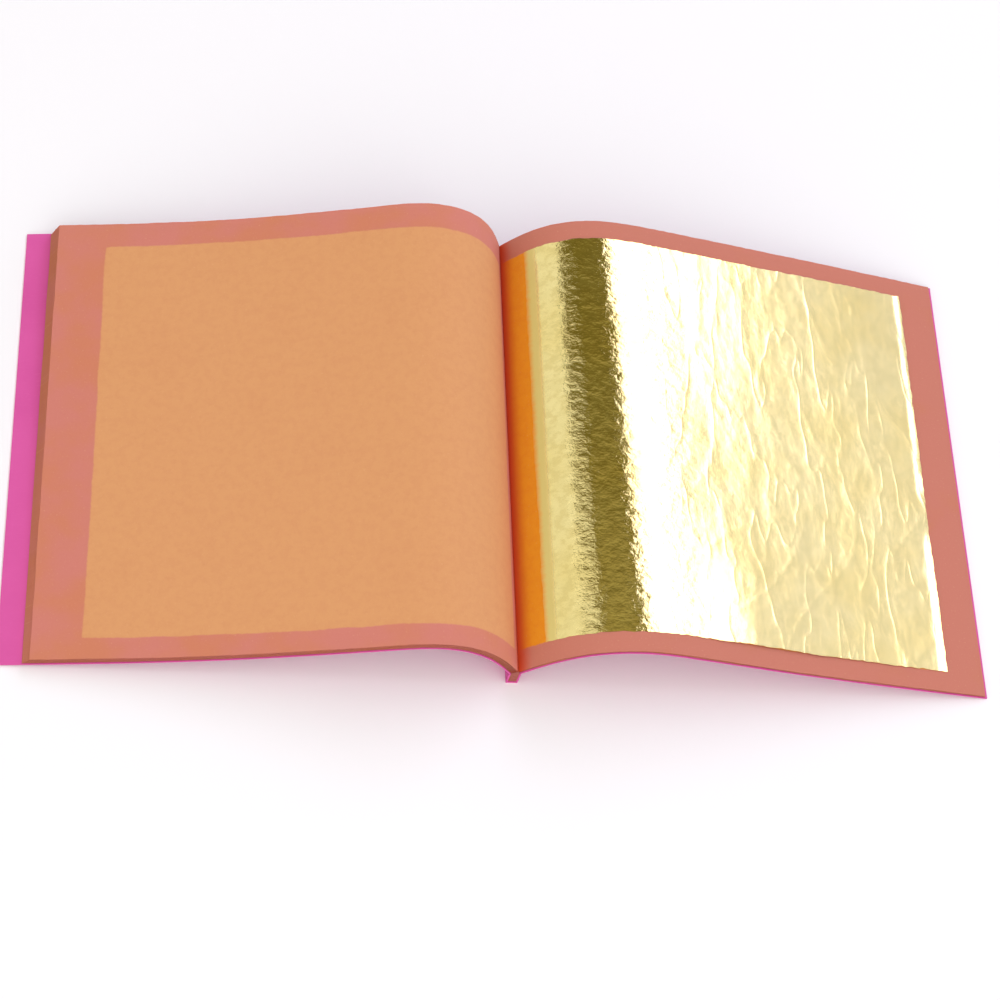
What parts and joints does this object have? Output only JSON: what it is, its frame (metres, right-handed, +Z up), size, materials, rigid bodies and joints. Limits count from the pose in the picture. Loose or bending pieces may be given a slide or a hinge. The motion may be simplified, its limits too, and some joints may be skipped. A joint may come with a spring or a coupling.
{
  "type": "gold leaf booklet",
  "caption": "Square staple-bound booklet lying open: rouged tissue pages in a thin card cover, one loose gold leaf showing on the right.",
  "frame": {"origin": "on the table under the gutter, halfway along the spine", "axes": "+X across the pages to the right, +Y along the spine away from the reader, +Z up"},
  "size_m": [0.1808, 0.0882, 0.0197],
  "materials": {
    "tissue": "matte rouged tissue",
    "gold": "bright beaten leaf",
    "cover_card": "smooth matte",
    "wire": "drawn wire"
  },
  "bodies": {
    "back_half": {"back_cover": "cover_card", "right_page_1_root": "tissue", "right_page_2": "tissue", "right_page_3": "tissue", "right_page_4": "tissue", "right_page_5": "tissue", "right_page_6": "tissue", "right_gold_leaf_1": "gold", "right_gold_leaf_2": "gold", "right_gold_leaf_3": "gold", "right_gold_leaf_4": "gold", "right_gold_leaf_5": "gold"},
    "binding": {"cover_spine": "cover_card", "page_margins": "tissue", "binding_staples": "wire"},
    "front_half": {"front_cover": "cover_card", "left_page_1_root": "tissue", "left_page_2": "tissue", "left_page_3": "tissue", "left_page_4": "tissue", "left_page_5": "tissue", "left_page_6": "tissue", "left_page_7": "tissue", "left_page_8": "tissue", "left_page_9": "tissue", "left_page_10": "tissue", "left_page_11": "tissue", "left_page_12": "tissue", "left_page_13": "tissue", "left_page_14": "tissue", "left_page_15": "tissue", "left_page_16": "tissue", "left_page_17": "tissue", "left_page_18": "tissue", "left_page_19": "tissue", "left_page_20": "tissue", "left_gold_leaf_1": "gold", "left_gold_leaf_2": "gold", "left_gold_leaf_3": "gold", "left_gold_leaf_4": "gold", "left_gold_leaf_5": "gold", "left_gold_leaf_6": "gold", "left_gold_leaf_7": "gold", "left_gold_leaf_8": "gold", "left_gold_leaf_9": "gold", "left_gold_leaf_10": "gold", "left_gold_leaf_11": "gold", "left_gold_leaf_12": "gold", "left_gold_leaf_13": "gold", "left_gold_leaf_14": "gold", "left_gold_leaf_15": "gold", "left_gold_leaf_16": "gold", "left_gold_leaf_17": "gold", "left_gold_leaf_18": "gold", "left_gold_leaf_19": "gold"},
    "left_page": {"left_page_1": "tissue"},
    "right_page": {"right_page_1": "tissue"},
    "loose_leaf": {"top_gold_leaf": "gold"}
  },
  "joints": [
    {"name": "spine_fold", "type": "hinge", "parent": "back_half", "child": "binding", "pos_m": [0.00045, 0, 0.00505], "axis": [0, -0.9997, -0.0236], "range_deg": [-93.3, 0], "deforming": ["back_cover", "right_page_1_root", "right_page_2", "right_page_3", "right_page_4", "right_page_5", "right_page_6", "right_gold_leaf_1", "right_gold_leaf_2", "right_gold_leaf_3", "right_gold_leaf_4", "right_gold_leaf_5", "right_page_1", "top_gold_leaf"]},
    {"name": "front_fold", "type": "hinge", "parent": "binding", "child": "front_half", "pos_m": [-0.00138, 0, 0.00473], "axis": [0, -0.9997, -0.0263], "range_deg": [-93.1, 0], "deforming": ["front_cover", "left_page_1_root", "left_page_2", "left_page_3", "left_page_4", "left_page_5", "left_page_6", "left_page_7", "left_page_8", "left_page_9", "left_page_10", "left_page_11", "left_page_12", "left_page_13", "left_page_14", "left_page_15", "left_page_16", "left_page_17", "left_page_18", "left_page_19", "left_page_20", "left_gold_leaf_1", "left_gold_leaf_2", "left_gold_leaf_3", "left_gold_leaf_4", "left_gold_leaf_5", "left_gold_leaf_6", "left_gold_leaf_7", "left_gold_leaf_8", "left_gold_leaf_9", "left_gold_leaf_10", "left_gold_leaf_11", "left_gold_leaf_12", "left_gold_leaf_13", "left_gold_leaf_14", "left_gold_leaf_15", "left_gold_leaf_16", "left_gold_leaf_17", "left_gold_leaf_18", "left_gold_leaf_19", "left_page_1"]},
    {"name": "left_page_turn", "type": "hinge", "parent": "front_half", "child": "left_page", "pos_m": [-0.00247, 0, 0.00986], "axis": [0.0105, 0.9995, 0.0286], "range_deg": [0, 30]},
    {"name": "right_page_turn", "type": "hinge", "parent": "back_half", "child": "right_page", "pos_m": [0.00335, 0, 0.00926], "axis": [0.0058, -0.9996, -0.0279], "range_deg": [0, 45]},
    {"name": "leaf_lift", "type": "slide", "parent": "right_page", "child": "loose_leaf", "axis": [0.4695, 0, 0.8829], "range_m": [0, 0.015]}
  ],
  "couplings": [
    {"joint": "front_fold", "follows": "spine_fold", "ratio": 0.99678}
  ]
}
